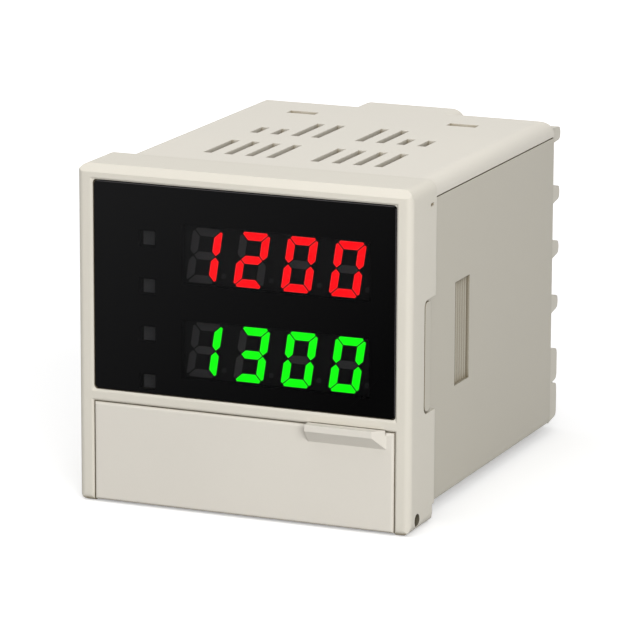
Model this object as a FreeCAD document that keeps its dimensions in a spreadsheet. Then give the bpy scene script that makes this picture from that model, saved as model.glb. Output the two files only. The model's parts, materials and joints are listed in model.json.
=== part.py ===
"""Panel-mounted PID temperature controller: a bezel with a smoked display window and a drop-down
key cover, a plug-in moulded case with ventilated top, and a screw-terminal block at the rear.

Local frame of every sub-part: X to the right, Y from the front plane towards the terminals, Z up
from the lowest edge of the bezel.  Every sub-part's Placement then carries the front plane forward,
so that the row's origin is under the middle of the whole controller.
"""
import FreeCAD, Part
import math
import os
import re

import Sketcher
from FreeCAD import Rotation, Vector

# ---------------------------------------------------------------- driving dimensions, in millimetres
SIZES = {
    # bezel
    "bezel_flange_width": 2.45,
    "bezel_brow_height": 1.0,
    "bezel_depth": 13.5,
    "bezel_wall": 1.9,
    "bezel_corner": 2.2,
    "bezel_top_bevel": 1.6,
    "bezel_side_round": 1.4,
    "face_depth": 3.4,
    "opening_bevel": 0.4,
    "cheek_cut_depth": 0.5,
    "cheek_slot_inset": 1.6,
    "cheek_slot_length": 1.7,
    "cheek_slot_rise": 0.1,
    "cheek_slot_height": 0.6,
    "cheek_step_length": 1.1,
    "cheek_step_height": 3.9,
    # display window
    "frame_width": 3.35,
    "frame_height": 3.1,
    "window_bottom": 23.9,
    "window_ledge": 0.8,
    "window_corner": 0.8,
    "filter_recess": 0.5,
    "filter_thickness": 1.7,
    "filter_gap": 0.25,
    # drop-down cover and its hinge
    "cover_top": 21.3,
    "cover_gap": 0.2,
    "cover_bottom": 0.45,
    "cover_thickness": 2.4,
    "cover_round": 0.6,
    "hinge_back": 4.15,
    "hinge_height": 2.6,
    "knuckle_radius": 2.15,
    "pin_radius": 1.25,
    "pin_length": 1.5,
    "pin_clearance": 0.06,
    "lip_reach": 2.3,
    "lip_left": 14.6,
    "lip_width": 17.0,
    "lip_face": 1.4,
    "lip_drop": 3.5,
    "lip_rise": 0.5,
    "lip_gap": 0.15,
    # keys behind the cover
    "key_wall_back": 7.0,
    "key_wall_thickness": 1.4,
    "key_width": 11.0,
    "key_height": 6.0,
    "key_corner": 1.0,
    "key_gap": 0.25,
    "key_pitch": 19.0,
    "key_middle": 12.6,
    "key_stand": 3.4,
    "key_flange": 0.9,
    "key_flange_thickness": 0.6,
    "key_play": 0.05,
    "key_travel": 0.3,
    "key_mark_height": 0.2,
    "key_mark_width": 3.0,
    # case
    "case_width": 68.6,
    "case_bottom": 2.2,
    "case_height": 67.8,
    "case_wall": 2.0,
    "case_rear": 89.7,
    "case_edge_round": 3.0,
    "case_foot_round": 1.0,
    "case_gap": 0.2,
    "lid_height": 4.0,
    "seam_gap": 0.25,
    "lid_front_gap": 0.05,
    "lid_rear_wall": 2.4,
    "lid_lip": 1.2,
    "lid_lip_gap": 0.05,
    "lid_lip_depth": 2.4,
    "lid_rear_round": 3.6,
    "latch_low": 24.2,
    "latch_height": 22.6,
    "latch_front": 7.8,
    "latch_length": 3.2,
    "latch_gap": 0.5,
    "latch_corner": 1.6,
    # toothed pockets for the panel clamp, one in each side of the case
    "pocket_front": 30.8,
    "pocket_length": 8.3,
    "pocket_low": 24.2,
    "pocket_height": 21.9,
    "pocket_depth": 1.5,
    "tooth_count": 6,
    "tooth_height": 1.0,
    # ventilation
    "vent_width": 1.85,
    "vent_pitch": 4.7,
    "vent_inset": 5.0,
    "vent_front": 25.6,
    "vent_long": 15.0,
    "vent_row_gap": 9.1,
    "vent_short": 6.6,
    "notch_width": 6.6,
    "notch_length": 2.6,
    "notch_depth": 0.8,
    "notch_side": 18.6,
    "notch_front": 74.0,
    # terminal block
    "terminal_depth": 5.2,
    "terminal_face_depth": 2.3,
    "terminal_pitch": 12.2,
    "terminal_drop": 1.2,
    "terminal_side": 10.6,
    "fin_reach": 5.1,
    "fin_inset": 0.4,
    "fin_root": 4.4,
    "fin_tip": 2.6,
    "fin_round": 0.9,
    "top_fin_drop": 2.0,
    "top_fin_root": 3.4,
    "ridge_width": 25.0,
    "ridge_reach": 4.3,
    "ridge_round": 3.0,
    "blank_split_rise": 0.4,
    "blank_lap": 0.3,
    "contact_width": 7.4,
    "contact_length": 13.0,
    "contact_thickness": 0.8,
    "screw_radius": 1.7,
    "screw_head_radius": 3.2,
    "screw_head_height": 2.0,
    "screw_length": 7.0,
    "screw_slot": 0.9,
    "screw_play": 0.1,
    "washer_size": 7.0,
    "washer_thickness": 0.9,
    # displays
    "digit_pitch": 10.47,
    "digit_first": -9.45,
    "digit_width": 6.55,
    "digit_height": 11.5,
    "digit_lean": 8.6,
    "segment_width": 1.66,
    "segment_gap": 0.35,
    "digit_corner_length": 0.8,
    "segment_depth": 0.5,
    "dot_radius": 0.6,
    "dot_gap": 1.05,
    "dot_raise_height": 1.9,
    "upper_row_height": 53.5,
    "lower_row_height": 33.8,
    "module_width": 43.5,
    "module_height": 16.0,
    "module_front": 2.6,
    "lamp_size": 2.8,
    "lamp_inset_width": 11.75,
    "lamp_pitch": 10.0,
    "lamp_foot_height": 2.25,
    "lamp_bar_width": 5.0,
    # boards and what they carry
    "board_thickness": 1.6,
    "display_board_gap": 0.5,
    "display_board_drop": 4.8,
    "board_seat": 0.1,
    "side_board_inset_width": 4.1,
    "side_board_drop": 9.8,
    "side_board_front": 14.6,
    "side_board_gap": 0.3,
    "guide_height": 3.0,
    "guide_width": 1.0,
    "guide_gap": 0.1,
    "guide_rear_gap": 8.0,
    "switch_size": 5.2,
    "switch_height": 1.45,
    "plunger_radius": 1.1,
    "plunger_height": 0.3,
    "transformer_place_length": 30.0,
    "transformer_place_height": 16.0,
    "transformer_height": 30.0,
    "transformer_length": 26.0,
    "transformer_depth": 20.0,
    "coil_width": 16.8,
    "coil_height": 20.8,
    "coil_proud_depth": 2.0,
    "coil_gap": 0.1,
    "relay_place_length": 44.0,
    "relay_place_height": 8.0,
    "relay_gap_height": 6.0,
    "relay_length": 19.0,
    "relay_height": 15.4,
    "relay_depth": 15.0,
    "capacitor_place_length": 18.0,
    "capacitor_place_height": 16.0,
    "capacitor_pitch": 14.0,
    "capacitor_radius": 5.0,
    "capacitor_height": 12.5,
    "chip_place_length": 16.0,
    "chip_place_height": 24.0,
    "chip_size": 12.0,
    "chip_thickness": 1.4,
    "header_depth": 5.0,
    "header_reach_length": 8.0,
    "header_place_height": 18.4,
    "header_length": 22.0,
}

doc = FreeCAD.newDocument("temperature_controller")
sheet = doc.addObject("Spreadsheet::Sheet", "sizes")
for row, (alias, number) in enumerate(SIZES.items(), start=1):
    sheet.set(f"A{row}", alias.replace("_", " "))
    sheet.set(f"B{row}", str(number))
    sheet.setAlias(f"B{row}", alias)
doc.recompute()

WORD = re.compile(r"[a-z][a-z_]+")
TINY = 1e-4
parts = []


# ---------------------------------------------------------------- ways of making and placing pieces
def bind(thing, prop, formula):
    """Tie one property to a formula of the sheet's named sizes."""
    named = WORD.sub(lambda word: "sizes." + word.group() if word.group() in SIZES else word.group(), formula)
    thing.setExpression(prop, named)


def block(name, x, y, z):
    """A box between two planes on each axis; x, y and z are pairs of formulas."""
    box = doc.addObject("Part::Box", name)
    for prop, axis, (low, high) in (("Length", "x", x), ("Width", "y", y), ("Height", "z", z)):
        bind(box, prop, f"({high}) - ({low})")
        bind(box, f"Placement.Base.{axis}", low)
    return box


def rod(name, axis, centre, span, radius, sides=0):
    """A cylinder along one axis, or a prism of so many sides where it is hidden.

    centre holds the other two coordinates, in X, Y, Z order.
    """
    cylinder = doc.addObject("Part::Prism" if sides else "Part::Cylinder", name)
    if sides:
        cylinder.Polygon = sides
    turn = {"x": (Vector(0, 1, 0), 90), "y": (Vector(1, 0, 0), -90), "z": (Vector(0, 0, 1), 0)}[axis]
    cylinder.Placement.Rotation = Rotation(*turn)
    others = [letter for letter in "xyz" if letter != axis]
    bind(cylinder, f"Placement.Base.{axis}", span[0])
    bind(cylinder, f"Placement.Base.{others[0]}", centre[0])
    bind(cylinder, f"Placement.Base.{others[1]}", centre[1])
    bind(cylinder, "Height", f"({span[1]}) - ({span[0]})")
    bind(cylinder, "Circumradius" if sides else "Radius", radius)
    return cylinder


def prism(name, axis, corners, span):
    """A sketched outline pushed out along one axis.

    The outline's corners are pairs of formulas in the plane of the other two axes, in X, Y, Z order.
    """
    turn = {
        "x": Rotation(Vector(1, 1, 1), 120),
        "y": Rotation(Vector(1, 0, 0), 90),
        "z": Rotation(),
    }[axis]
    sketch = doc.addObject("Sketcher::SketchObject", name + "_outline")
    sketch.Placement.Rotation = turn
    bind(sketch, f"Placement.Base.{axis}", span[0])
    count = len(corners)
    seeds = [Vector(math.cos(2 * math.pi * i / count), math.sin(2 * math.pi * i / count), 0) for i in range(count)]
    for i in range(count):
        sketch.addGeometry(Part.LineSegment(seeds[i], seeds[(i + 1) % count]))
    for i in range(count):
        sketch.addConstraint(Sketcher.Constraint("Coincident", i, 2, (i + 1) % count, 1))
    for i, corner in enumerate(corners):
        for kind, seed, formula in zip(("DistanceX", "DistanceY"), seeds[i], corner):
            number = sketch.addConstraint(Sketcher.Constraint(kind, -1, 1, i, 1, seed))
            bind(sketch, f"Constraints[{number}]", formula)
    push = doc.addObject("Part::Extrusion", name)
    push.Base = sketch
    push.DirMode = "Custom"
    push.Dir = {"x": Vector(1, 0, 0), "y": Vector(0, 1, 0), "z": Vector(0, 0, 1)}[axis]
    bind(push, "LengthFwd", f"({span[1]}) - ({span[0]})")
    push.Solid = True
    return push


def fuse(name, pieces):
    union = doc.addObject("Part::MultiFuse", name)
    union.Shapes = pieces
    union.Refine = True
    return union


def cut(name, base, tools):
    """The base with every tool taken out of it."""
    result = doc.addObject("Part::Cut", name)
    result.Base = base
    result.Tool = tools[0] if len(tools) == 1 else fuse(name + "_tools", tools)
    result.Refine = True
    return result


def common(name, pieces):
    """What several solids share."""
    shared = doc.addObject("Part::MultiCommon", name)
    shared.Shapes = pieces
    shared.Refine = True
    return shared


def dressed(name, source, steps):
    """A body whose chosen edges are rounded or bevelled, one step after another.

    Each step is a feature's kind, its size and a test on an edge's box and the whole solid's box.
    """
    doc.recompute()
    body = doc.addObject("PartDesign::Body", name)
    body.BaseFeature = source
    body.setExpression("Placement", source.Name + ".Placement")
    doc.recompute()
    for number, (kind, formula, test) in enumerate(steps, start=1):
        before = body.Tip
        whole = before.Shape.BoundBox
        edges = [
            f"Edge{i}"
            for i, edge in enumerate(before.Shape.Edges, start=1)
            if test(edge.BoundBox, whole)
        ]
        feature = body.newObject("PartDesign::" + kind, f"{name}_{kind.lower()}_{number}")
        feature.Base = (before, edges)
        bind(feature, "Radius" if kind == "Fillet" else "Size", formula)
        body.Tip = feature
        doc.recompute()
    return body


def solid_of(name, shape):
    """A sub-part whose form comes from Part's own functions."""
    feature = doc.addObject("Part::Feature", name)
    feature.Shape = shape
    return feature


def part(name, *pieces):
    """A finished sub-part, of one piece or of several like ones, carried to its place in the row."""
    whole = doc.addObject("Part::Compound", name)
    whole.Label = name
    whole.Links = pieces
    bind(whole, "Placement.Base.y", "0 - (case_rear + fin_reach - lip_reach) / 2")
    parts.append(whole)


def along(axis):
    """Test that an edge's box runs along one axis only."""
    def test(edge):
        lengths = {"x": edge.XLength, "y": edge.YLength, "z": edge.ZLength}
        return lengths[axis] > TINY and all(lengths[other] < TINY for other in "xyz" if other != axis)
    return test


def same(a, b):
    return abs(a - b) < TINY


FLOOR = "case_bottom + case_wall"
CASE_TOP = "case_bottom + case_height"
SEAM = "case_bottom + case_height - lid_height"
HALF_CASE = "case_width / 2"
HALF_INSIDE = "case_width / 2 - case_wall"
HALF_BEZEL = "case_width / 2 + bezel_flange_width"
HALF_WINDOW = "case_width / 2 + bezel_flange_width - frame_width"
BEZEL_TOP = "case_bottom + case_height + bezel_brow_height"
WINDOW_TOP = "case_bottom + case_height + bezel_brow_height - frame_height"
TERMINAL_FOOT = "(case_bottom + case_height / 2 - 2 * terminal_pitch - terminal_drop)"
KEY_WALL_REAR = "key_wall_back + key_wall_thickness"
KEY_REAR = "key_wall_back + key_wall_thickness + key_play + key_flange_thickness"
PLUNGER_TIP = KEY_REAR + " + key_travel + 2 * key_play"
BOARD_BACK = PLUNGER_TIP + " + plunger_height + switch_height"
CASE_FRONT = "key_wall_back + key_wall_thickness + case_gap"
BOARD_PLACE = "case_width / 2 - case_wall - side_board_inset_width"
BOARD_FACE = "case_width / 2 - case_wall - side_board_inset_width - board_thickness / 2"


def both(formula):
    """The low and high planes of a span centred on X = 0."""
    return f"0 - ({formula})", formula


def beside(side, near, far):
    """The low and high planes of a span on one side of X = 0."""
    return (near, far) if side == "right" else (f"0 - ({far})", f"0 - ({near})")


SIDES = ("left", "right")
SHANK_SIDES = 12
KEY_PLACES = ("0 - key_pitch", "0", "key_pitch")


# ---------------------------------------------------------------- front bezel
def bezel_billet(name):
    return block(name, both(HALF_BEZEL), ("0", "bezel_depth"), ("0", BEZEL_TOP))


def front_edge(edge, whole):
    """Test for a level edge of the front plane."""
    return along("x")(edge) and same(edge.YMax, whole.YMin)


def front_bezel():
    """One moulding: face with the window, two arms that carry the cover, key wall and skirt."""
    shell = common("bezel_form", [
        dressed("bezel_seen_from_" + view, bezel_billet("bezel_billet_" + view), steps)
        for view, steps in (
            ("front", [("Fillet", "bezel_corner", lambda e, w: along("y")(e))]),
            ("above", [("Fillet", "bezel_side_round", lambda e, w: along("z")(e) and same(e.YMax, w.YMin))]),
            ("side", [
                ("Chamfer", "bezel_top_bevel", lambda e, w: front_edge(e, w) and same(e.ZMin, w.ZMax)),
                ("Fillet", "bezel_side_round", lambda e, w: front_edge(e, w) and same(e.ZMin, w.ZMin)),
            ]),
        )
    ])
    inner = HALF_BEZEL + " - bezel_wall"
    # the skirt's inside, behind the face, above and behind the key wall
    above = block("bezel_hollow_above", both(inner), ("face_depth", "bezel_depth + 1"),
                  ("window_bottom - 0.5", BEZEL_TOP + " - bezel_wall"))
    behind = block("bezel_hollow_behind", both(inner), (KEY_WALL_REAR, "bezel_depth + 1"),
                   ("bezel_wall", "window_bottom"))
    window = block("bezel_window", both(HALF_WINDOW), ("-1", "filter_recess + filter_thickness"),
                   ("window_bottom", WINDOW_TOP))
    window_form = dressed("bezel_window_form", window, [("Fillet", "window_corner", lambda e, w: along("y")(e))])
    sight = block("bezel_sight", both(HALF_WINDOW + " - window_ledge"), ("0", "face_depth + 1"),
                  ("window_bottom + window_ledge", WINDOW_TOP + " - window_ledge"))
    # the place of the cover, open to the front and below
    bay_top = "cover_top + cover_gap"
    bay = block("bezel_cover_bay", both(HALF_WINDOW), ("-1", "key_wall_back"), ("-1", bay_top))
    # both openings have a bright bevel round their front edge
    bevels = [
        dressed(f"bezel_{name}_bevel", block(f"bezel_{name}_flare", both(HALF_WINDOW + " + opening_bevel"),
                                             ("-1", "opening_bevel"), (f"{low} - opening_bevel", f"{high} + opening_bevel")),
                [("Chamfer", "opening_bevel", lambda e, w: same(e.YMin, w.YMax))])
        for name, low, high in (("window", "window_bottom", WINDOW_TOP), ("bay", "-1", bay_top))
    ]
    # the rim is thinned at the rear to pass over the lid
    rim = block("bezel_rim_relief", both(HALF_CASE + " + case_gap"), ("bezel_depth - 1", "bezel_depth + 1"),
                ("case_height", CASE_TOP + " + case_gap"))
    pins = rod("bezel_pin_holes", "x", ("hinge_back", "hinge_height"), ("0 - case_width", "case_width"),
               "pin_radius + pin_clearance")
    tools = [above, behind, window_form, sight, bay, pins, rim] + bevels
    for index, place in enumerate(KEY_PLACES):
        hole = block(f"bezel_key_hole_{index}",
                     (f"{place} - key_width / 2 - key_gap", f"{place} + key_width / 2 + key_gap"),
                     ("key_wall_back - 1", f"{KEY_WALL_REAR} + 1"),
                     ("key_middle - key_height / 2 - key_gap", "key_middle + key_height / 2 + key_gap"))
        tools.append(dressed(f"bezel_key_hole_form_{index}", hole,
                             [("Fillet", "key_corner + key_gap", lambda e, w: along("y")(e))]))
    # cut-outs in both cheeks where the case's latches snap in, a slot above and a step below
    latch = block("bezel_latch_gap", both(HALF_BEZEL + " + 1"), ("latch_front - latch_gap", "bezel_depth + 1"),
                  ("latch_low - latch_gap", "latch_low + latch_height + latch_gap"))
    tools.append(dressed("bezel_latch_form", latch, [
        ("Fillet", "latch_corner", lambda e, w: along("x")(e) and same(e.YMax, w.YMin)),
    ]))
    for side in SIDES:
        cheek = beside(side, HALF_BEZEL + " - cheek_cut_depth", HALF_BEZEL + " + 1")
        slot_rear = "bezel_depth - cheek_slot_inset"
        tools.append(block(f"bezel_slot_{side}", cheek, (slot_rear + " - cheek_slot_length", slot_rear),
                           (SEAM + " + cheek_slot_rise", SEAM + " + cheek_slot_rise + cheek_slot_height")))
        tools.append(block(f"bezel_step_{side}", cheek, ("bezel_depth - cheek_step_length", "bezel_depth + 1"),
                           ("-1", "cheek_step_height")))
    part("front_bezel", cut("bezel_solid", shell, tools))


def display_filter():
    """The smoked window, dropped into its rebate in the bezel's face."""
    plate = block("filter_plate", both(HALF_WINDOW + " - filter_gap"),
                  ("filter_recess", "filter_recess + filter_thickness"),
                  ("window_bottom + filter_gap", WINDOW_TOP + " - filter_gap"))
    part("display_filter", dressed("filter_form", plate, [
        ("Fillet", "window_corner", lambda e, w: along("y")(e)),
    ]))


# ---------------------------------------------------------------- displays behind the window
SEGMENTS = "abcdefg"
LIT = {"0": "abcdef", "1": "bc", "2": "abged", "3": "abgcd"}


def segment_outline(letter):
    """Corners of one seven-segment bar, on a digit centred on the origin, before it leans.

    The top bar and the upper right bar are mitred towards each other at forty-five degrees; the others
    mirror them.  The middle bar is pointed at both ends.
    """
    right, top = SIZES["digit_width"] / 2, SIZES["digit_height"] / 2
    wide, gap, corner = SIZES["segment_width"], SIZES["segment_gap"] / 2, SIZES["digit_corner_length"]
    if letter == "g":
        tip = right - wide / 2 - gap
        shoulder = tip - wide / 2
        return [(-tip, 0), (-shoulder, wide / 2), (shoulder, wide / 2), (tip, 0), (shoulder, -wide / 2),
                (-shoulder, -wide / 2)]
    if letter in "ad":
        half = [(right - corner, top), (right - corner / 2 - gap, top - corner / 2), (right - wide - gap, top - wide)]
        outline = half + [(-u, v) for u, v in reversed(half)]
    else:
        outline = [(right, top - corner), (right - corner / 2, top - corner / 2 - gap),
                   (right - wide, top - wide - gap), (right - wide, wide / 2 + gap),
                   (right - wide / 2, gap), (right, wide / 2 + gap)]
    across = -1 if letter in "ef" else 1
    over = -1 if letter in "cde" else 1
    return [(across * u, over * v) for u, v in outline]


def dot_outline():
    """Twelve corners round a decimal point."""
    turns = [math.radians(30 * step) for step in range(12)]
    return [(SIZES["dot_radius"] * math.cos(turn), SIZES["dot_radius"] * math.sin(turn)) for turn in turns]


def segment_solid(corners, middle_x, middle_z, front):
    """A leaning bar of light-guiding resin, flush with the module's face."""
    lean = math.tan(math.radians(SIZES["digit_lean"]))
    points = [Vector(middle_x + u + v * lean, front, middle_z + v) for u, v in corners]
    face = Part.Face(Part.makePolygon(points + points[:1]))
    return face.extrude(Vector(0, SIZES["segment_depth"], 0))


def digit_solids(text, middle_z):
    """Every bar and dot of a row of digits, sorted into lit and dark ones."""
    lit, dark = [], []
    front = SIZES["module_front"]
    for index, character in enumerate(text):
        middle_x = SIZES["digit_first"] + index * SIZES["digit_pitch"]
        for letter in SEGMENTS:
            solid = segment_solid(segment_outline(letter), middle_x, middle_z, front)
            (lit if letter in LIT[character] else dark).append(solid)
        dot_x = middle_x + SIZES["digit_width"] / 2 + SIZES["dot_gap"]
        dot_z = middle_z - SIZES["digit_height"] / 2 + SIZES["dot_raise_height"]
        dot = segment_solid(dot_outline(), dot_x, dot_z, front)
        dark.append(dot)
    return lit, dark


def display_row(name, text, place):
    """One four-digit module: a black block with resin-filled bars in its face."""
    lit, dark = digit_solids(text, SIZES[place])
    middle = "digit_first + 1.5 * digit_pitch"
    body = block(name + "_block", (f"{middle} - module_width / 2", f"{middle} + module_width / 2"),
                 ("module_front", BOARD_BACK),
                 (f"{place} - module_height / 2", f"{place} + module_height / 2"))
    cells = solid_of(name + "_cells", Part.makeCompound(lit + dark))
    part(name + "_module", cut(name + "_housing", body, [cells]))
    part(name + "_lit_segments", solid_of(name + "_lit_bars", Part.makeCompound(lit)))
    part(name + "_dark_segments", solid_of(name + "_dark_bars", Part.makeCompound(dark)))


def indicator_lamps():
    """Four square lamps in a black bar to the left of the digits."""
    lamps, holes = [], []
    half = "lamp_size / 2"
    middle = f"lamp_inset_width - ({HALF_WINDOW})"
    for index in range(4):
        height = f"window_bottom + lamp_foot_height + {index} * lamp_pitch"
        span_x = (f"{middle} - {half}", f"{middle} + {half}")
        span_z = (f"{height} - {half}", f"{height} + {half}")
        lamps.append(block(f"lamp_{index}", span_x, ("module_front", BOARD_BACK), span_z))
        holes.append(block(f"lamp_hole_{index}", span_x, ("module_front - 1", BOARD_BACK + " + 1"), span_z))
    bar = block("lamp_bar_block", (f"{middle} - lamp_bar_width / 2", f"{middle} + lamp_bar_width / 2"),
                ("face_depth + filter_gap", BOARD_BACK),
                ("window_bottom", "window_bottom + lamp_foot_height + 3 * lamp_pitch + lamp_bar_width / 2"))
    part("indicator_lamps", *lamps)
    part("lamp_bar", cut("lamp_bar_form", bar, holes))


def display_board():
    """The board that carries the displays, lamps and key switches."""
    board = block("display_board_plate", both(HALF_INSIDE + " - display_board_gap"),
                  (BOARD_BACK, BOARD_BACK + " + board_thickness"),
                  (FLOOR + " + board_seat", CASE_TOP + " - display_board_drop"))
    part("display_board", board)


# ---------------------------------------------------------------- drop-down cover
def front_cover():
    """Flat cover with a finger lip, rounded knuckles along its foot and a pin at each end."""
    width = HALF_WINDOW + " - cover_gap"
    leaf = block("cover_leaf", both(width), ("0", "cover_thickness"), ("cover_bottom", "cover_top"))
    leaf_form = dressed("cover_leaf_form", leaf, [
        ("Fillet", "cover_round", lambda e, w: same(e.YMax, w.YMin)),
    ])
    knuckle = rod("cover_knuckle", "x", ("hinge_back", "hinge_height"), both(width), "knuckle_radius")
    web = block("cover_web", both(width), ("cover_thickness / 2", "hinge_back"),
                ("hinge_height - knuckle_radius", "hinge_height + knuckle_radius"))
    pins = rod("cover_pins", "x", ("hinge_back", "hinge_height"), both(f"{width} + pin_length"), "pin_radius")
    top = "cover_top + lip_rise"
    lip = prism("cover_lip", "x", [
        ("0 - lip_reach", top),
        ("0 - lip_reach", f"{top} - lip_face"),
        ("0", "cover_top - lip_drop"),
        ("cover_round", "cover_top - lip_drop"),
        ("cover_round", "cover_top - cover_round"),
        ("0 - lip_gap", "cover_top - cover_round"),
        ("0 - lip_gap", top),
    ], ("lip_left", "lip_left + lip_width"))
    # the lip's right end slopes back to the cover at forty-five degrees
    slope = prism("cover_lip_slope", "z", [
        ("lip_left + lip_width - lip_reach", "0 - lip_reach"),
        ("lip_left + lip_width", "0"),
        ("lip_left + lip_width + 1", "0"),
        ("lip_left + lip_width + 1", "0 - lip_reach - 1"),
        ("lip_left + lip_width - lip_reach", "0 - lip_reach - 1"),
    ], ("cover_top - lip_drop - 1", top + " + 1"))
    part("front_cover", fuse("cover_solid", [leaf_form, knuckle, web, pins, cut("cover_lip_form", lip, [slope])]))


# ---------------------------------------------------------------- keys and their switches
def key_mark(name, place):
    """The raised sign on a key: a bar, or a triangle that points down or up."""
    span = ("key_stand - key_mark_height", "key_stand + key_mark_height")
    half = "key_mark_width / 2"
    if name == "key_mode":
        return block("mark_mode", (f"{place} - {half}", f"{place} + {half}"), span,
                     ("key_middle - key_mark_width / 8", "key_middle + key_mark_width / 8"))
    base, tip = {"key_down": ("+", "-"), "key_up": ("-", "+")}[name]
    return prism("mark_" + name, "y", [
        (f"{place} - {half}", f"key_middle {base} key_mark_width / 3"),
        (f"{place} + {half}", f"key_middle {base} key_mark_width / 3"),
        (place, f"key_middle {tip} key_mark_width * 0.45"),
    ], span)


def key(name, place):
    """A push key: a cap through the key wall and a flange that stops it from behind."""
    cap = block(name + "_cap", (f"{place} - key_width / 2", f"{place} + key_width / 2"),
                ("key_stand", KEY_REAR),
                ("key_middle - key_height / 2", "key_middle + key_height / 2"))
    cap_form = dressed(name + "_form", cap, [
        ("Fillet", "key_corner", lambda e, w: along("y")(e)),
        ("Chamfer", "key_gap", lambda e, w: same(e.YMax, w.YMin)),
    ])
    flange = block(name + "_flange", (f"{place} - key_width / 2 - key_flange", f"{place} + key_width / 2 + key_flange"),
                   (KEY_WALL_REAR + " + key_play", KEY_REAR),
                   ("key_middle - key_height / 2 - key_flange", "key_middle + key_height / 2 + key_flange"))
    part(name, fuse(name + "_solid", [cap_form, flange, key_mark(name, place)]))


def key_switches():
    """A low switch behind each key, soldered to the display board."""
    switches = []
    for index, place in enumerate(KEY_PLACES):
        base = block(f"switch_base_{index}", (f"{place} - switch_size / 2", f"{place} + switch_size / 2"),
                     (PLUNGER_TIP + " + plunger_height", BOARD_BACK),
                     ("key_middle - switch_size / 2", "key_middle + switch_size / 2"))
        plunger = rod(f"switch_plunger_{index}", "y", (place, "key_middle"),
                      (PLUNGER_TIP, BOARD_BACK + " - switch_height / 2"),
                      "plunger_radius", SHANK_SIDES)
        switches.append(fuse(f"switch_{index}", [base, plunger]))
    part("key_switches", *switches)


# ---------------------------------------------------------------- case
def vent_cutters(name, low, high):
    """Two rows of slots; the rear row's outer slots are short."""
    cutters = []
    rear = "vent_front + vent_long + vent_row_gap"
    for side in SIDES:
        for index in range(4):
            place = f"vent_inset + {index} * vent_pitch"
            middle = place if side == "right" else f"0 - ({place})"
            length = "vent_short" if index > 1 else "vent_long"
            for row_name, start, end in (("front", "vent_front", "vent_front + vent_long"),
                                         ("rear", rear, f"{rear} + {length}")):
                cutters.append(block(f"{name}_{side}_{row_name}_{index}",
                                     (f"{middle} - vent_width / 2", f"{middle} + vent_width / 2"), (start, end), (low, high)))
    return cutters


def side_pocket(side):
    """The pocket in a case side, and the upright teeth left standing in it."""
    outer = HALF_CASE
    pocket = block(f"pocket_{side}", beside(side, f"{outer} - pocket_depth", f"{outer} + 1"),
                   ("pocket_front", "pocket_front + pocket_length"), ("pocket_low", "pocket_low + pocket_height"))
    teeth = []
    for index in range(int(SIZES["tooth_count"])):
        start = f"pocket_front + ({index} + 0.5) * pocket_length / (tooth_count + 0.5)"
        pitch = "pocket_length / (tooth_count + 0.5)"
        sign = "" if side == "right" else "0 - "
        teeth.append(prism(f"tooth_{side}_{index}", "z", [
            (f"{sign}({outer} - pocket_depth - 0.2)", start),
            (f"{sign}({outer} - pocket_depth)", start),
            (f"{sign}({outer} - pocket_depth + tooth_height)", f"{start} + {pitch} * 0.5"),
            (f"{sign}({outer} - pocket_depth)", f"{start} + {pitch}"),
            (f"{sign}({outer} - pocket_depth - 0.2)", f"{start} + {pitch}"),
        ], ("pocket_low - 0.2", "pocket_low + pocket_height + 0.2")))
    return pocket, teeth


def case_body():
    """The tub: floor and two sides, with latches, toothed pockets and guides for the boards."""
    outer = block("case_block", both(HALF_CASE), (CASE_FRONT, "case_rear"), ("case_bottom", SEAM))
    tub = dressed("case_block_form", outer, [
        ("Fillet", "case_foot_round", lambda e, w: along("y")(e) and same(e.ZMax, w.ZMin)),
    ])
    hollow = block("case_hollow", both(HALF_INSIDE), (f"{CASE_FRONT} - 1", "case_rear + 1"), (FLOOR, f"{SEAM} + 1"))
    tools = [hollow] + vent_cutters("foot_vent", "case_bottom - 1", FLOOR + " + 1")
    additions = []
    for side in SIDES:
        pocket, teeth = side_pocket(side)
        tools.append(pocket)
        additions += teeth
        latch = block(f"latch_{side}", beside(side, HALF_CASE + " - 0.5", HALF_BEZEL),
                      ("latch_front", "latch_front + latch_length"), ("latch_low", "latch_low + latch_height"))
        additions.append(dressed(f"latch_form_{side}", latch, [
            ("Fillet", "latch_corner - latch_gap", lambda e, w: along("x")(e) and same(e.YMax, w.YMin)),
            ("Chamfer", "latch_corner / 2", lambda e, w: along("x")(e) and same(e.YMin, w.YMax)),
        ]))
        for edge, place in (("outer", f"{BOARD_PLACE} + board_thickness / 2 + guide_gap"),
                            ("inner", f"{BOARD_FACE} - guide_gap - guide_width")):
            additions.append(block(f"guide_{edge}_{side}", beside(side, place, f"{place} + guide_width"),
                                   ("side_board_front", "case_rear - guide_rear_gap"),
                                   (FLOOR + " - 0.1", FLOOR + " + guide_height")))
    hollowed = cut("case_hollowed", tub, tools)
    part("case_body", fuse("tub_solid", [hollowed] + additions))


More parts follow.
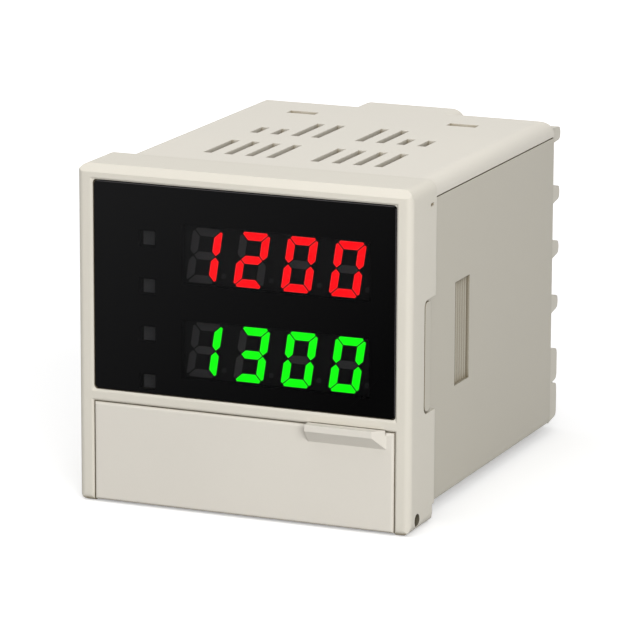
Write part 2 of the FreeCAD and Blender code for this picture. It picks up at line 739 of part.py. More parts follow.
def case_lid():
    """The ventilated top, stepped at the front to pass under the bezel, with lips inside the tub."""
    front = "bezel_depth + lid_front_gap"
    crown = common("lid_form", [
        dressed("lid_seen_from_" + view, block("lid_block_" + view, both(HALF_CASE), (front, "case_rear"),
                                               (f"{SEAM} + seam_gap", CASE_TOP)), [("Fillet", radius, test)])
        for view, radius, test in (
            ("rear", "case_edge_round", lambda e, w: along("y")(e) and same(e.ZMin, w.ZMax)),
            ("side", "lid_rear_round", lambda e, w: along("x")(e) and same(e.YMin, w.YMax) and same(e.ZMin, w.ZMax)),
        )
    ])
    hollow = block("lid_hollow", both(HALF_INSIDE), (front + " - 1", "case_rear - lid_rear_wall"),
                   (f"{SEAM} - 1", f"{CASE_TOP} - case_wall"))
    opened = cut("lid_opened", crown, [hollow] + vent_cutters("lid_vent", SEAM, CASE_TOP + " + 1"))
    tongue = block("lid_tongue", both(HALF_INSIDE + " - case_gap"), (CASE_FRONT, front + " + 1"),
                   (f"{CASE_TOP} - case_wall - 1", BEZEL_TOP + " - bezel_wall - case_gap"))
    root = block("lid_tongue_root", both(HALF_INSIDE), (front, front + " + 1"),
                 (f"{CASE_TOP} - case_wall - 1", f"{CASE_TOP} - case_wall + 0.1"))
    lips = []
    for side in SIDES:
        lips.append(block(f"lid_lip_{side}", beside(side, HALF_INSIDE + " - lid_lip - lid_lip_gap", HALF_INSIDE + " - lid_lip_gap"),
                          (front + " + case_wall", "case_rear - guide_rear_gap"),
                          (SEAM + " - lid_lip_depth", CASE_TOP + " - case_wall + 0.1")))
    # a tab runs back over the ridge between the terminals, flush with the top
    tab = dressed("lid_tab_form", block("lid_tab", both("ridge_width / 2"),
                                        ("case_rear - lid_rear_round - case_wall", "case_rear + ridge_reach"),
                                        (f"{SEAM} + seam_gap", CASE_TOP)), [
        ("Fillet", "ridge_round", lambda e, w: along("y")(e) and same(e.ZMin, w.ZMax)),
        ("Chamfer", "case_foot_round", lambda e, w: same(e.YMin, w.YMax) and same(e.ZMin, w.ZMax)),
    ])
    whole = fuse("lid_whole", [opened, tongue, root, tab] + lips)
    notches = []
    for side in SIDES:
        notches.append(block(f"lid_notch_{side}", beside(side, "notch_side - notch_width / 2", "notch_side + notch_width / 2"),
                             ("notch_front", "notch_front + notch_length"), (f"{CASE_TOP} - notch_depth", CASE_TOP + " + 1")))
    part("case_lid", cut("lid_solid", whole, notches))


# ---------------------------------------------------------------- rear terminals
def terminal_heights(side):
    """Heights of the terminals on one side: five on the left, four above the blank on the right."""
    first = 0 if side == "left" else 1
    return [f"{TERMINAL_FOOT} + {index} * terminal_pitch" for index in range(first, 5)]


def fin(name, side, low, high, taper):
    """A barrier between two terminals, thinner at its tip, from the middle ridge to the case's side."""
    tip = "case_rear + fin_reach"
    return prism(name, "x", [
        ("case_rear", low),
        (f"{tip} - fin_round", f"{low} + {taper} - fin_round * 0.2"),
        (f"{tip} - fin_round * 0.3", f"{low} + {taper} + fin_round * 0.15"),
        (tip, f"{low} + {taper} + fin_round"),
        (tip, f"{high} - {taper} - fin_round"),
        (f"{tip} - fin_round * 0.3", f"{high} - {taper} - fin_round * 0.15"),
        (f"{tip} - fin_round", f"{high} - {taper} + fin_round * 0.2"),
        ("case_rear", high),
    ], beside(side, "ridge_width / 2", HALF_CASE + " - fin_inset"))


def terminal_block():
    """The rear moulding: a plate that closes the case, a middle ridge and the barriers."""
    plate = block("terminal_plate", both(HALF_INSIDE + " - case_gap / 2"), ("case_rear - terminal_depth", "case_rear"),
                  (FLOOR + " + board_seat", f"{CASE_TOP} - case_wall - board_seat"))
    notch = block("terminal_plate_notch", both(HALF_CASE), ("case_rear - terminal_depth - 1", "case_rear + 1"),
                  (f"{SEAM} - lid_lip_depth - case_gap", CASE_TOP))
    face = block("terminal_face", both(HALF_INSIDE + " - lid_lip - case_gap"), ("case_rear - terminal_face_depth", "case_rear"),
                 (f"{SEAM} - lid_lip_depth - 1", SEAM))
    ridge = block("terminal_ridge", both("ridge_width / 2"), ("case_rear", "case_rear + ridge_reach"),
                  ("case_bottom", SEAM))
    ridge_form = dressed("terminal_ridge_form", ridge, [
        ("Chamfer", "case_foot_round", lambda e, w: along("z")(e) and same(e.YMin, w.YMax)),
    ])
    taper = "(fin_root - fin_tip) / 2"
    fins = []
    for side in SIDES:
        for index in range(0 if side == "left" else 2, 5):
            middle = f"{TERMINAL_FOOT} + ({index} - 0.5) * terminal_pitch"
            fins.append(fin(f"fin_{side}_{index}", side, f"{middle} - fin_root / 2", f"{middle} + fin_root / 2", taper))
        top = CASE_TOP + " - top_fin_drop"
        fins.append(fin(f"fin_{side}_top", side, top + " - top_fin_root", top, "(fin_root - fin_tip) / 4"))
    # two filled places, which run together at their roots
    split = TERMINAL_FOOT + " + blank_split_rise"
    fins.append(fin("blank_upper", "right", split + " - blank_lap",
                    TERMINAL_FOOT + " + terminal_pitch - contact_width / 2", taper))
    fins.append(fin("blank_lower", "right", "case_bottom", split + " + blank_lap", taper))
    solid = fuse("terminal_solid", [cut("terminal_plate_cut", plate, [notch]), face, ridge_form] + fins)
    holes = []
    for side in SIDES:
        middle = f"{HALF_CASE} - terminal_side" if side == "right" else f"terminal_side - {HALF_CASE}"
        for index, height in enumerate(terminal_heights(side)):
            holes.append(rod(f"terminal_hole_{side}_{index}", "y", (middle, height),
                             ("case_rear - terminal_depth - 1", "case_rear + 1"), "screw_radius + screw_play",
                             SHANK_SIDES))
    part("terminal_block", cut("terminal_moulding", solid, holes))


def terminal_fittings():
    """For every terminal a contact plate, a square washer and a slotted pan-head screw."""
    contacts, washers, screws = [], [], []
    for side in SIDES:
        middle = f"{HALF_CASE} - terminal_side" if side == "right" else f"terminal_side - {HALF_CASE}"
        for index, height in enumerate(terminal_heights(side)):
            name = f"{side}_{index}"
            on_plate = "case_rear + contact_thickness"
            on_washer = "case_rear + contact_thickness + washer_thickness"
            tip = f"{on_washer} + screw_head_height - screw_length"
            strip = block("contact_strip_" + name, (f"{middle} - contact_length / 2", f"{middle} + contact_length / 2"),
                          ("case_rear", on_plate), (f"{height} - contact_width / 2", f"{height} + contact_width / 2"))
            hole = rod("contact_hole_" + name, "y", (middle, height), ("case_rear - 1", on_plate + " + 1"),
                       "screw_radius", SHANK_SIDES)
            contacts.append(cut("contact_" + name, strip, [hole]))
            square = block("washer_square_" + name, (f"{middle} - washer_size / 2", f"{middle} + washer_size / 2"),
                           (on_plate, on_washer), (f"{height} - washer_size / 2", f"{height} + washer_size / 2"))
            eye = rod("washer_eye_" + name, "y", (middle, height), ("case_rear", on_washer + " + 1"),
                      "screw_radius", SHANK_SIDES)
            washers.append(cut("washer_" + name, square, [eye]))
            head = rod("screw_head_" + name, "y", (middle, height), (on_washer, on_washer + " + screw_head_height"),
                       "screw_head_radius")
            stem = rod("screw_stem_" + name, "y", (middle, height), (tip, on_washer + " + screw_play"),
                       "screw_radius", SHANK_SIDES)
            slot = block("screw_slot_" + name, (f"{middle} - screw_head_radius", f"{middle} + screw_head_radius"),
                         (on_washer + " + screw_head_height * 0.45", on_washer + " + screw_head_height + 1"),
                         (f"{height} - screw_slot / 2", f"{height} + screw_slot / 2"))
            screws.append(cut("screw_" + name, fuse("screw_blank_" + name, [head, stem]), [slot]))
    part("terminal_contacts", *contacts)
    part("terminal_washers", *washers)
    part("terminal_screws", *screws)


# ---------------------------------------------------------------- boards inside the case
def side_board(name, side):
    """An upright board along one side of the case, held in the floor's guides."""
    span = beside(side, BOARD_FACE, f"{BOARD_PLACE} + board_thickness / 2")
    part(name, block(name + "_plate", span,
                     ("side_board_front", "case_rear - terminal_depth - side_board_gap"),
                     (FLOOR, CASE_TOP + " - side_board_drop")))


def on_board(name, side, start, length, low, height, depth):
    """A block-shaped component on the inner face of a side board."""
    return block(name, beside(side, f"{BOARD_FACE} - {depth}", BOARD_FACE), (start, f"{start} + {length}"), (low, f"{low} + {height}"))


def transformer():
    """Mains transformer on the right board: laminated core round a wound bobbin."""
    start = "side_board_front + transformer_place_length"
    low = FLOOR + " + transformer_place_height"
    core = on_board("transformer_frame", "right", start, "transformer_length", low, "transformer_height",
                    "transformer_depth")
    from_front = f"{start} + (transformer_length - coil_width) / 2"
    from_foot = f"{low} + (transformer_height - coil_height) / 2"
    window = block("transformer_window", beside("right", f"{BOARD_FACE} - transformer_depth - 1", BOARD_FACE + " + 1"),
                   (f"{from_front} - coil_gap", f"{from_front} + coil_width + coil_gap"),
                   (f"{from_foot} - coil_gap", f"{from_foot} + coil_height + coil_gap"))
    part("transformer_core", cut("transformer_stack", core, [window]))
    coil = block("coil_block", beside("right", f"{BOARD_FACE} - transformer_depth - coil_proud_depth", BOARD_FACE),
                 (from_front, f"{from_front} + coil_width"), (from_foot, f"{from_foot} + coil_height"))
    part("transformer_coil", dressed("coil_form", coil, [
        ("Chamfer", "coil_proud_depth / 2", lambda e, w: along("x")(e)),
    ]))


def board_components():
    """Relays, capacitors, processor and the headers that join the boards."""
    start = "side_board_front + relay_place_length"
    low = FLOOR + " + relay_place_height"
    part("output_relay", on_board("output_relay_box", "left", start, "relay_length", low, "relay_height", "relay_depth"))
    part("alarm_relay", on_board("alarm_relay_box", "left", start, "relay_length",
                                 f"{low} + relay_height + relay_gap_height", "relay_height", "relay_depth"))
    capacitors = []
    for index in range(2):
        middle = ("side_board_front + capacitor_place_length",
                  f"{FLOOR} + capacitor_place_height + {index} * capacitor_pitch")
        capacitors.append(rod(f"capacitor_{index}", "x", middle,
                              beside("right", f"{BOARD_FACE} - capacitor_height", BOARD_FACE), "capacitor_radius"))
    part("smoothing_capacitors", *capacitors)
    part("processor_chip", on_board("chip_package", "left", "side_board_front + chip_place_length", "chip_size",
                                    FLOOR + " + chip_place_height", "chip_size", "chip_thickness"))
    headers = []
    for side in SIDES:
        low = FLOOR + " + header_place_height"
        headers.append(block(f"header_{side}", beside(side, f"{BOARD_FACE} - header_depth", BOARD_FACE),
                             (BOARD_BACK + " + board_thickness", "side_board_front + header_reach_length"),
                             (low, f"{low} + header_length")))
    part("board_headers", *headers)


front_bezel()
display_filter()
display_row("upper_display", "1200", "upper_row_height")
display_row("lower_display", "1300", "lower_row_height")
indicator_lamps()
display_board()
front_cover()
for key_name, key_place in zip(("key_mode", "key_down", "key_up"), KEY_PLACES):
    key(key_name, key_place)
key_switches()
case_body()
case_lid()
terminal_block()
terminal_fittings()
side_board("control_board", "left")
side_board("power_board", "right")
transformer()
board_components()
doc.recompute()

# ---------------------------------------------------------------- check, then write each sub-part
for item in doc.Objects:
    if "Invalid" in item.State or "Error" in item.State:
        raise RuntimeError(f"{item.Label} failed: {item.State}")
for item in parts:
    shape = item.Shape
    if shape.isNull() or not shape.isValid() or not shape.Solids:
        raise RuntimeError(f"{item.Label} has no valid solid")
os.makedirs("parts", exist_ok=True)
for item in parts:
    item.Shape.exportStep(f"parts/{item.Label}.step")
    box = item.Shape.BoundBox
    print(f"{item.Label:24s} {len(item.Shape.Solids):3d} solids {item.Shape.Volume:10.1f} mm3",
          [round(number, 2) for number in (box.XMin, box.XMax, box.YMin, box.YMax, box.ZMin, box.ZMax)])
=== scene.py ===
"""Looks of a panel-mounted temperature controller: cream mouldings round a smoked window, a drop-down
cover over three keys, and screw terminals at the rear, on a plain pale floor under soft studio light."""
import json
import bpy
import numpy as np
from mathutils import Matrix, Vector


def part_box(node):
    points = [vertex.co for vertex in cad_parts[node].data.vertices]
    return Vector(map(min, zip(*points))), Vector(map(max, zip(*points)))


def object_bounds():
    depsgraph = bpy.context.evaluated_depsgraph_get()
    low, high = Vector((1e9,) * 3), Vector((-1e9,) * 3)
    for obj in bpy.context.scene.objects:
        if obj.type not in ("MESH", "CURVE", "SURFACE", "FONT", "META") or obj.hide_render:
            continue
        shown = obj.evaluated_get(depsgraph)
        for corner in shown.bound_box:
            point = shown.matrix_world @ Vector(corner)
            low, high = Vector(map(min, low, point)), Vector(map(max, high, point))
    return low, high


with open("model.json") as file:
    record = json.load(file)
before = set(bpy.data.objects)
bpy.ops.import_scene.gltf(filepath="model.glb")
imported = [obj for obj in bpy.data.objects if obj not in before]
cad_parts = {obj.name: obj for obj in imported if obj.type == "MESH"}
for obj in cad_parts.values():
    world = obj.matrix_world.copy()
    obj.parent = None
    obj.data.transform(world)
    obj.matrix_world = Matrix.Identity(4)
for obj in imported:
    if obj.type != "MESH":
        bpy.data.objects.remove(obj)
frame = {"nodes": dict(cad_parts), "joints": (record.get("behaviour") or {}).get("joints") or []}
CAD_BOX = [list(map(float, corner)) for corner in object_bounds()]


# ---------------------------------------------------------------- case body
# The tub of the case: floor and two sides, one ABS moulding drawn out towards the front.  Its tool
# was spark-eroded, which leaves a fine, even grain.  Its tone is greyer than the lid's: partly the
# plastic's own colour, partly painted shade for the sides, which get less light than the top.

MM = 0.001


class Wire:
    """An output socket of a material's node tree that can be reckoned with.

    wire + 1, 1 - wire and the like each add the Math node that does it; node() adds any other node.
    """

    def __init__(self, tree, socket=None):
        self.tree = tree
        self.socket = socket

    def node(self, kind, settings=None, inputs=None, output=0):
        made = self.tree.nodes.new(kind)
        for name, value in (settings or {}).items():
            if name == "stops":
                set_stops(made.color_ramp, value)
            else:
                setattr(made, name, value)
        for name, value in (inputs or {}).items():
            if isinstance(value, Wire):
                self.tree.links.new(value.socket, made.inputs[name])
            else:
                made.inputs[name].default_value = value
        return Wire(self.tree, made.outputs[output] if made.outputs else None)

    def math(self, operation, *values):
        return self.node("ShaderNodeMath", {"operation": operation}, dict(enumerate(values)))

    def __add__(self, other):
        return self.math("ADD", self, other)

    __radd__ = __add__

    def __sub__(self, other):
        return self.math("SUBTRACT", self, other)

    def __rsub__(self, other):
        return self.math("SUBTRACT", other, self)

    def __mul__(self, other):
        return self.math("MULTIPLY", self, other)

    __rmul__ = __mul__

    def mix(self, low, high):
        """The colour between two, by this value as the share of the second."""
        return self.node("ShaderNodeMix", {"data_type": "RGBA"}, {0: self, 6: low, 7: high}, 2)


def set_stops(ramp, stops):
    """Gives a colour ramp its stops: pairs of place and grey level or colour."""
    while len(ramp.elements) < len(stops):
        ramp.elements.new(1.0)
    for element, (place, level) in zip(ramp.elements, stops):
        element.position = place
        element.color = level if hasattr(level, "__len__") else (level, level, level, 1.0)


def colour(red, green, blue):
    """A colour in the renderer's linear light from the usual 0 to 255 numbers."""
    shares = np.array([red, green, blue]) / 255.0
    linear = np.where(shares <= 0.04045, shares / 12.92, ((shares + 0.055) / 1.055) ** 2.4)
    return (*map(float, linear), 1.0)


def new_material(name):
    """An empty material, as a wire to start from, and the object-coordinate wire on it."""
    material = bpy.data.materials.new(name)
    material.use_nodes = True
    material.node_tree.nodes.clear()
    start = Wire(material.node_tree)
    place = start.node("ShaderNodeTexCoord", output=3)
    return material, start, place


def finish_with(start, shader):
    start.node("ShaderNodeOutputMaterial", inputs={"Surface": shader})


def grey(level):
    """A plain grey in linear light."""
    return (level, level, level, 1.0)


def scaled(tone, *shares):
    """A colour with its red, green and blue multiplied by one share, or by one each."""
    return (*(min(1.0, channel * share) for channel, share in zip(tone, shares * (3 // len(shares)))), 1.0)


# painted shade: the share of each channel of the tone that is left in a narrow gap
PAINTED_GAP_SHADE = (0.42, 0.37, 0.28)
# painted shade: the dark brown that the foot of a recess is darkened towards
PAINTED_RECESS_SHADE = colour(72, 66, 50)
EDGE_RADIUS = 0.25 * MM
GRAIN_DEPTH = 0.018 * MM


def moulded_plastic(name, tone, reach=2.6, narrow=(0.15, 0.5), roughness=0.5, recess=None):
    """Spark-eroded ABS: an even base tone with faint cloudy drift, a fine grain and softened edges.

    The tone is darkened and browned in narrow gaps, a painted shade as warm as the light
    that bounces there: reach is how far the opposite wall may be, and narrow the shares of open
    sky where the painted shade is full and where it ends.  recess, if given, is a function of
    start and place that returns how much painted shade the foot of a recess gets.
    """
    material, start, place = new_material(name)
    drift = start.node("ShaderNodeTexNoise", inputs={"Vector": place, "Scale": 38.0, "Detail": 3.0})
    speckle = start.node("ShaderNodeTexNoise", inputs={"Vector": place, "Scale": 2600.0, "Detail": 2.0})
    mottled = (drift * 0.7 + speckle * 0.3).mix(scaled(tone, 0.965), scaled(tone, 1.035))
    # painted shade: where ambient occlusion finds a narrow gap, the tone is darkened and browned
    sky = start.node("ShaderNodeAmbientOcclusion", {"samples": 8}, {"Distance": reach * MM}, 1)
    unshaded = start.node("ShaderNodeValToRGB", {"stops": ((narrow[0], 0.0), (narrow[1], 1.0))}, {"Fac": sky})
    base = unshaded.mix(scaled(tone, *PAINTED_GAP_SHADE), mottled)
    # painted shade at the foot of a recess
    if recess:
        base = recess(start, place).mix(base, PAINTED_RECESS_SHADE)
    rounded = start.node("ShaderNodeBevel", {"samples": 8}, {"Radius": EDGE_RADIUS})
    grained = start.node("ShaderNodeBump", inputs={
        "Strength": 0.35, "Distance": GRAIN_DEPTH, "Height": speckle, "Normal": rounded,
    })
    shader = start.node("ShaderNodeBsdfPrincipled", inputs={
        "Base Color": base, "Roughness": drift * 0.1 + (roughness - 0.05), "Normal": grained,
        "Specular IOR Level": 0.22, "IOR": 1.5,
    })
    finish_with(start, shader)
    return material


def coordinates(start, place):
    """The X, Y and Z wires of a place."""
    split = start.node("ShaderNodeSeparateXYZ", inputs={0: place})
    return [Wire(start.tree, split.socket.node.outputs[axis]) for axis in range(3)]


def near(position, middle, half, soft=0.02 * MM):
    """1 where |position - middle| is under half, falling to 0 over a soft margin."""
    away = position.math("ABSOLUTE", position - middle)
    return away.node("ShaderNodeMath", {"operation": "MULTIPLY", "use_clamp": True},
                     {0: (half + soft) - away, 1: 1 / soft})


def dress(node, material):
    """Gives a CAD node its finish."""
    mesh = frame["nodes"][node].data
    mesh.materials.clear()
    mesh.materials.append(material)


# each side's toothed pocket: the case's half width, the pocket's middle and half sizes, its teeth's depths,
# and the share of painted shade at the teeth's crests and feet
CASE_HALF_WIDTH = 34.3 * MM
POCKET_MIDDLE_Y, POCKET_HALF_LENGTH = -11.3 * MM, 4.15 * MM
POCKET_MIDDLE_Z, POCKET_HALF_HEIGHT = 35.15 * MM, 11.0 * MM
TEETH_MIDDLE, TEETH_HALF_DEPTH = 1.0 * MM, 0.6 * MM
CREST_DEPTH, FOOT_DEPTH = 0.7 * MM, 1.25 * MM
CREST_SHADE, FOOT_SHADE = 0.12, 0.9


def shade_between_teeth(start, place):
    """Painted shade in the two toothed pockets: little at the teeth's crests, nearly all at their feet."""
    across, along, high = coordinates(start, place)
    depth = CASE_HALF_WIDTH - across.math("ABSOLUTE", across)
    pocket = (near(along, POCKET_MIDDLE_Y, POCKET_HALF_LENGTH)
              * near(high, POCKET_MIDDLE_Z, POCKET_HALF_HEIGHT)
              * near(depth, TEETH_MIDDLE, TEETH_HALF_DEPTH))
    # painted shade, deeper towards the teeth's feet
    return pocket * start.node("ShaderNodeMapRange", inputs={
        0: depth, 1: CREST_DEPTH, 2: FOOT_DEPTH, 3: CREST_SHADE, 4: FOOT_SHADE,
    })


# the tub's tone: partly the plastic's own colour, partly painted shade for its less lit sides
dress("case_body", moulded_plastic("case_moulding", colour(192, 187, 174), reach=2.4, narrow=(0.35, 0.9),
                                   recess=shade_between_teeth))


# ---------------------------------------------------------------- case lid
# The ventilated top, moulded in a paler cream of the same plastic and snapped between the tub's sides.

dress("case_lid", moulded_plastic("lid_moulding", colour(219, 214, 203), reach=3.0, narrow=(0.3, 0.75)))


# ---------------------------------------------------------------- terminal block
# The rear moulding with its barriers, the brass contacts let into it, and nine slotted screws
# with square washers.

dress("terminal_block", moulded_plastic("terminal_moulding", colour(206, 201, 189), reach=3.0,
                                        narrow=(0.2, 0.6)))


def metal(name, tone, roughness=0.3):
    """Plated or rolled metal: a cloudy sheen, brighter where it has been rubbed."""
    material, start, place = new_material(name)
    rubbed = start.node("ShaderNodeTexNoise", inputs={"Vector": place, "Scale": 420.0, "Detail": 4.0})
    shader = start.node("ShaderNodeBsdfPrincipled", inputs={
        "Base Color": rubbed.mix(scaled(tone, 0.8), tone), "Metallic": 1.0,
        "Roughness": rubbed * 0.12 + roughness,
    })
    finish_with(start, shader)
    return material


dress("terminal_contacts", metal("tinned_brass", colour(214, 196, 150)))
plated_steel = metal("plated_steel", colour(196, 197, 198))
for fastener in ("terminal_washers", "terminal_screws"):
    dress(fastener, plated_steel)


# ---------------------------------------------------------------- boards and what they carry
# Glass-fibre laminate under green mask, with the transformer, relays, capacitors and processor.

def coated(name, tone, roughness=0.35):
    """A painted, moulded or masked surface with a faint mottle in tone and sheen."""
    material, start, place = new_material(name)
    mottle = start.node("ShaderNodeTexNoise", inputs={"Vector": place, "Scale": 300.0, "Detail": 3.0})
    shader = start.node("ShaderNodeBsdfPrincipled", inputs={
        "Base Color": mottle.mix(scaled(tone, 0.88), tone), "Roughness": mottle * 0.12 + roughness,
    })
    finish_with(start, shader)
    return material


board_mask = coated("board_mask", colour(32, 92, 56))
for board in ("display_board", "control_board", "power_board"):
    dress(board, board_mask)
dress("transformer_core", metal("lamination_steel", colour(112, 108, 104), roughness=0.45))
dress("transformer_coil", coated("winding_tape", colour(204, 166, 42)))
blue_case = coated("relay_case", colour(38, 74, 112))
for relay in ("output_relay", "alarm_relay"):
    dress(relay, blue_case)
dress("smoothing_capacitors", coated("capacitor_sleeve", colour(38, 40, 46)))
black_moulding = coated("black_moulding", colour(30, 30, 32))
for part_name in ("processor_chip", "board_headers", "key_switches"):
    dress(part_name, black_moulding)


# ---------------------------------------------------------------- displays
# Two four-digit modules with light-guiding resin bars, and the four indicator lamps beside them.

display_black = coated("display_black", colour(9, 9, 10), roughness=0.6)
for part_name in ("upper_display_module", "lower_display_module", "lamp_bar"):
    dress(part_name, display_black)


LIT_STRENGTH = 4.6
SPILL_WIDTH = 0.24 * MM
SPILL = 0.045


def lit_resin(name, tone):
    """Resin with a lamp behind it; light spills out paler along the edges of each bar.

    The edges are where the rounded normal leans away from the flat one.
    """
    material, start, place = new_material(name)
    rounded = start.node("ShaderNodeBevel", {"samples": 4}, {"Radius": SPILL_WIDTH})
    flat = start.node("ShaderNodeNewGeometry", output=3)
    agreement = start.node("ShaderNodeVectorMath", {"operation": "DOT_PRODUCT"}, {0: rounded, 1: flat}, 1)
    middle = start.node("ShaderNodeMapRange", inputs={0: agreement, 1: 0.8, 2: 0.99})
    paler = (*(min(1.0, channel + SPILL) for channel in tone[:3]), 1.0)
    shader = start.node("ShaderNodeBsdfPrincipled", inputs={
        "Base Color": grey(0.02), "Roughness": 0.4,
        "Emission Color": middle.mix(paler, tone), "Emission Strength": LIT_STRENGTH,
    })
    finish_with(start, shader)
    return material


dress("upper_display_lit_segments", lit_resin("lit_red", colour(255, 0, 12)))
dress("lower_display_lit_segments", lit_resin("lit_green", colour(0, 255, 0)))


def from_nearest(position, first, pitch):
    """How far a position is from the nearest of the places that lie a pitch apart, one of them at first."""
    turns = (position - first) * (1 / pitch) + 0.5
    return (turns.math("FRACT", turns) - 0.5) * pitch


DIGIT_PITCH = 10.47 * MM
POINT_RADIUS = 0.6 * MM
POINT_HEIGHT = 1.9 * MM


def dark_resin(name, node):
    """Milky resin with no lamp behind it; the points, low to the right of each digit, are dimmer.

    The last point ends the row, and the others lie one digit's pitch apart before it.
    """
    material, start, place = new_material(name)
    low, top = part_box(node)
    across, _, high = coordinates(start, place)
    along_row = from_nearest(across, top.x - POINT_RADIUS, DIGIT_PITCH)
    points = near(along_row, 0.0, POINT_RADIUS) * near(high, low.z + POINT_HEIGHT, POINT_RADIUS)
    shader = start.node("ShaderNodeBsdfPrincipled", inputs={
        "Base Color": points.mix(colour(140, 138, 140), colour(74, 74, 76)), "Roughness": points * 0.1 + 0.45,
    })
    finish_with(start, shader)
    return material


for row in ("upper", "lower"):
    dress(row + "_display_dark_segments", dark_resin(row + "_dark_resin", row + "_display_dark_segments"))
dress("indicator_lamps", coated("lamp_resin", colour(180, 180, 182), roughness=0.45))


# ---------------------------------------------------------------- front bezel
# One moulding with the window's rebate, the cover's bay and the two arms that carry its pins.

hinge = next(joint for joint in frame["joints"] if joint["name"] == "cover_hinge")["pos_m"]
PIN_HOLE_RADIUS = 1.33 * MM
DARK_FROM, DARK_MARGIN = 34.4 * MM, 0.4 * MM
# the share of painted shade in the pin holes
HOLE_SHADE = 0.9


def pin_hole_shade(start, place):
    """Painted shade in the holes that take the cover's pins, from just short of the pins' ends outwards.

    A place is in a hole if its distance from the hinge's axis, which runs along X, is under the radius.
    """
    from_hinge = start.node("ShaderNodeVectorMath", {"operation": "SUBTRACT"}, {0: place, 1: hinge})
    off_axis = start.node("ShaderNodeVectorMath", {"operation": "MULTIPLY"},
                          {0: from_hinge, 1: (0.0, 1.0, 1.0)})
    away = start.node("ShaderNodeVectorMath", {"operation": "LENGTH"}, {0: off_axis}, 1)
    across = coordinates(start, place)[0]
    return near(away, 0.0, PIN_HOLE_RADIUS) * (1 - near(across, 0.0, DARK_FROM, DARK_MARGIN)) * HOLE_SHADE


dress("front_bezel", moulded_plastic("bezel_moulding", colour(213, 208, 196), narrow=(0.2, 0.6),
                                     recess=pin_hole_shade))


# ---------------------------------------------------------------- smoked window
# A flat plate of smoked acrylic, polished on both faces.  It is backed with black but for clear fields
# over the digits and the lamps, and stands in the bezel's rebate.

CLEAR_MARGIN = 0.3 * MM
FRONT_FACE = 0.3 * MM
THROUGH = 0.25
# widths of the painted highlight along the plate's top and right edges
TOP_HIGHLIGHT, SIDE_HIGHLIGHT = 0.13 * MM, 0.08 * MM
LAMP_COUNT = 4


def clear_field(across, high, node):
    """1 over the rectangle that shows a node: the product of a band across and a band up, with soft margins.

    It starts at the node's left and lower edges and reaches two margins past its right and upper ones.
    """
    low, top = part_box(node)
    middle, half = (low + top) / 2, (top - low) / 2
    return (near(across, middle.x + CLEAR_MARGIN, half.x + CLEAR_MARGIN, CLEAR_MARGIN)
            * near(high, middle.z + CLEAR_MARGIN, half.z + CLEAR_MARGIN, CLEAR_MARGIN))


def lamp_squares(high):
    """1 in each of the bands up the plate that show a lamp, a square as wide as the column of lamps."""
    low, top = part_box("indicator_lamps")
    half = (top.x - low.x) / 2
    pitch = (top.z - low.z - 2 * half) / (LAMP_COUNT - 1)
    up = from_nearest(high, low.z + half + CLEAR_MARGIN, pitch)
    return near(up, 0.0, half + CLEAR_MARGIN / 2, CLEAR_MARGIN)


def smoked_acrylic():
    """Polished acrylic that lets a quarter of the light through its clear fields.

    Only its front face dims what lies behind, and there its smoked colour is paler by what it lets through,
    so that a field over black looks as the backing does.  The smoked colour is paler towards the top left,
    a painted reflection of the room, and a painted highlight runs as a thin grey line along the top and
    right edges.
    """
    material, start, place = new_material("smoked_acrylic")
    across, along, high = coordinates(start, place)
    clear = (clear_field(across, high, "upper_display_dark_segments")
             + clear_field(across, high, "lower_display_dark_segments")
             + clear_field(across, high, "indicator_lamps") * lamp_squares(high))
    low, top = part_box("display_filter")
    # painted highlight: a thin grey line along the plate's top and right edges
    painted_edge_highlight = near(high, top.z, TOP_HIGHLIGHT) + near(across, top.x, SIDE_HIGHLIGHT)
    front = near(along, low.y, FRONT_FACE)
    haze_and_reflection = start.node("ShaderNodeTexNoise", inputs={"Vector": place, "Scale": 14.0, "Detail": 1.0})
    # painted reflection: the smoked colour is paler towards the top left, as if the plate mirrored the room
    painted_reflection = start.node("ShaderNodeValToRGB", {"stops": ((0.12, 0.0), (1.0, 1.0))},
                      {"Fac": high * 9.0 - across * 9.0 + haze_and_reflection * 0.15})
    tint_and_reflection = start.node("ShaderNodeVectorMath", {"operation": "MULTIPLY"}, {
        0: painted_reflection.mix((0.0005, 0.0005, 0.0006, 1.0), (0.0098, 0.0098, 0.0102, 1.0)),
        1: clear.mix(grey(1.0), grey(1.36)),
    })
    shader = start.node("ShaderNodeBsdfPrincipled", inputs={
        "Base Color": painted_edge_highlight.mix(tint_and_reflection, (0.07, 0.066, 0.068, 1.0)), "Roughness": haze_and_reflection * 0.02 + 0.04,
        "Alpha": 1 - clear * (1 - front * (1 - THROUGH)), "IOR": 1.49, "Specular IOR Level": 0.02,
    })
    finish_with(start, shader)
    return material


dress("display_filter", smoked_acrylic())


# ---------------------------------------------------------------- drop-down cover and keys
# A flat cream flap with a finger lip; behind it three grey moulded keys.

dress("front_cover", moulded_plastic("cover_moulding", colour(216, 211, 201), recess=pin_hole_shade))
key_finish = moulded_plastic("key_moulding", colour(128, 130, 130), roughness=0.6)
for key_name in ("key_mode", "key_down", "key_up"):
    dress(key_name, key_finish)


# ---------------------------------------------------------------- floor, light and camera
# A plain pale floor that runs out of sight, one large soft lamp overhead and another in front, to the
# right, under an even white sky, and a camera with a long lens.

def seen_directly(start):
    """1 where the camera, a reflection or glass looks, 0 for the light that bounces about."""
    rays = start.tree.nodes.new("ShaderNodeLightPath")
    camera_ray, glossy_ray, glass_ray = (
        Wire(start.tree, rays.outputs[kind])
        for kind in ("Is Camera Ray", "Is Glossy Ray", "Is Transmission Ray"))
    return start.math("MAXIMUM", start.math("MAXIMUM", camera_ray, glossy_ray), glass_ray)


FLOOR_HALF_WIDTH = 3.0
FLOOR_HEIGHT = -0.02 * MM
HANGING_REACH = 60.0 * MM


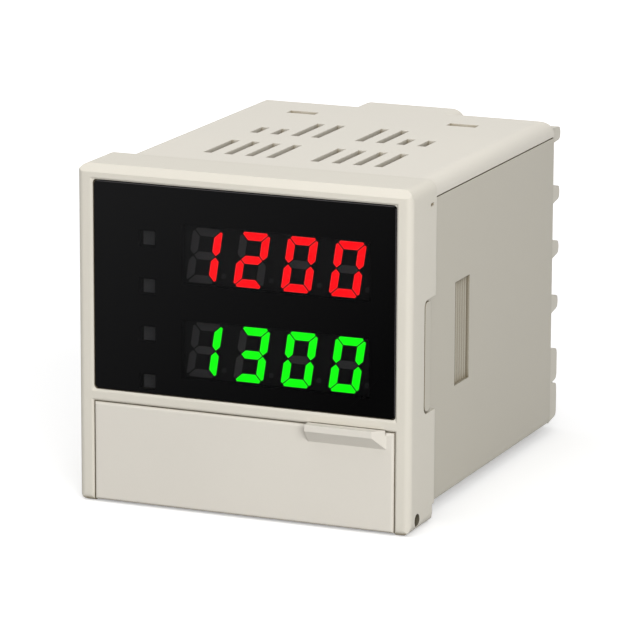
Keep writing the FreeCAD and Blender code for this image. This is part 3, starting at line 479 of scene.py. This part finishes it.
def pale_floor():
    """A pale matt floor that looks white where nothing shades it, out to where the lamps no longer reach.

    The cover swings lower than the floor that the case stands on, as it may in a panel, so the floor is
    left open wherever something hangs just below it.
    """
    material, start, place = new_material("pale_floor")
    seen = seen_directly(start)
    matt = start.node("ShaderNodeBsdfDiffuse", inputs={"Color": seen.mix(grey(0.42), grey(0.84))})
    distance = start.node("ShaderNodeVectorMath", {"operation": "LENGTH"}, {0: place}, 1)
    glow = start.node("ShaderNodeValToRGB", {"stops": ((0.11, 0.34), (0.6, 0.84))}, {"Fac": distance})
    white = start.node("ShaderNodeEmission", inputs={"Color": glow, "Strength": seen})
    laid = start.node("ShaderNodeAddShader", inputs={0: matt, 1: white})
    # 1 where nothing lies within reach on the floor's underside
    clear_below = start.node("ShaderNodeAmbientOcclusion", {"samples": 16, "inside": True},
                             {"Distance": HANGING_REACH}, 1)
    whole = start.node("ShaderNodeValToRGB", {"stops": ((0.94, 0.0), (1.0, 1.0))}, {"Fac": clear_below})
    opened = start.node("ShaderNodeBsdfTransparent")
    finish_with(start, start.node("ShaderNodeMixShader", inputs={0: whole, 1: opened, 2: laid}))
    return material


floor_mesh = bpy.data.meshes.new("floor")
corners = [(x * FLOOR_HALF_WIDTH, y * FLOOR_HALF_WIDTH, FLOOR_HEIGHT)
           for x, y in ((-1, -1), (1, -1), (1, 1), (-1, 1))]
floor_mesh.from_pydata(corners, [], [(0, 1, 2, 3)])
floor = bpy.data.objects.new("floor", floor_mesh)
bpy.context.scene.collection.objects.link(floor)
floor_mesh.materials.append(pale_floor())


LIT_POINT = Vector((0.0, 0.0, 30.0 * MM))


def lamp(name, place, width, power):
    """A square soft lamp that faces the case."""
    light = bpy.data.lights.new(name, "AREA")
    light.energy = power
    light.size = width
    holder = bpy.data.objects.new(name, light)
    facing = (Vector(place) - LIT_POINT).to_track_quat("Z", "Y").to_matrix().to_4x4()
    holder.matrix_world = Matrix.Translation(place) @ facing
    bpy.context.scene.collection.objects.link(holder)


lamp("top_lamp", (-0.16, -0.10, 0.85), 0.7, 3.0)
lamp("front_lamp", (0.45, -0.62, 0.32), 0.5, 4.8)

world = bpy.data.worlds.new("studio")
world.use_nodes = True
bpy.context.scene.world = world
world.node_tree.nodes.clear()
sky = Wire(world.node_tree)
plain = sky.node("ShaderNodeBackground", inputs={"Color": grey(1.0), "Strength": 0.42})
bright = sky.node("ShaderNodeBackground", inputs={"Color": grey(1.0), "Strength": 1.0})
sky.node("ShaderNodeOutputWorld", inputs={
    "Surface": sky.node("ShaderNodeMixShader", inputs={0: seen_directly(sky), 1: plain, 2: bright}),
})

# The camera stands to the right of the front and a little above it.
YAW, PITCH, ROLL = np.radians((22.66, 13.182, 0.23))
CAMERA_DISTANCE = 934.88 * MM
AIM_OFFSET = Vector((0.39, -6.25, -2.47)) * MM
low, top = (Vector(corner) for corner in CAD_BOX)
target = (low + top) / 2 + AIM_OFFSET
back = Vector((np.cos(PITCH) * np.sin(YAW), -np.cos(PITCH) * np.cos(YAW), np.sin(PITCH)))
level = Vector((np.cos(YAW), np.sin(YAW), 0))
right = level * np.cos(ROLL) + back.cross(level) * np.sin(ROLL)
camera_data = bpy.data.cameras.new("camera")
camera_data.sensor_width = 36.0
camera_data.lens = 249.72
camera = bpy.data.objects.new("camera", camera_data)
turn = Matrix((right, back.cross(right), back)).transposed().to_4x4()
camera.matrix_world = Matrix.Translation(target + back * CAMERA_DISTANCE) @ turn
bpy.context.scene.collection.objects.link(camera)
bpy.context.scene.camera = camera
bpy.context.scene.view_settings.view_transform = "Standard"
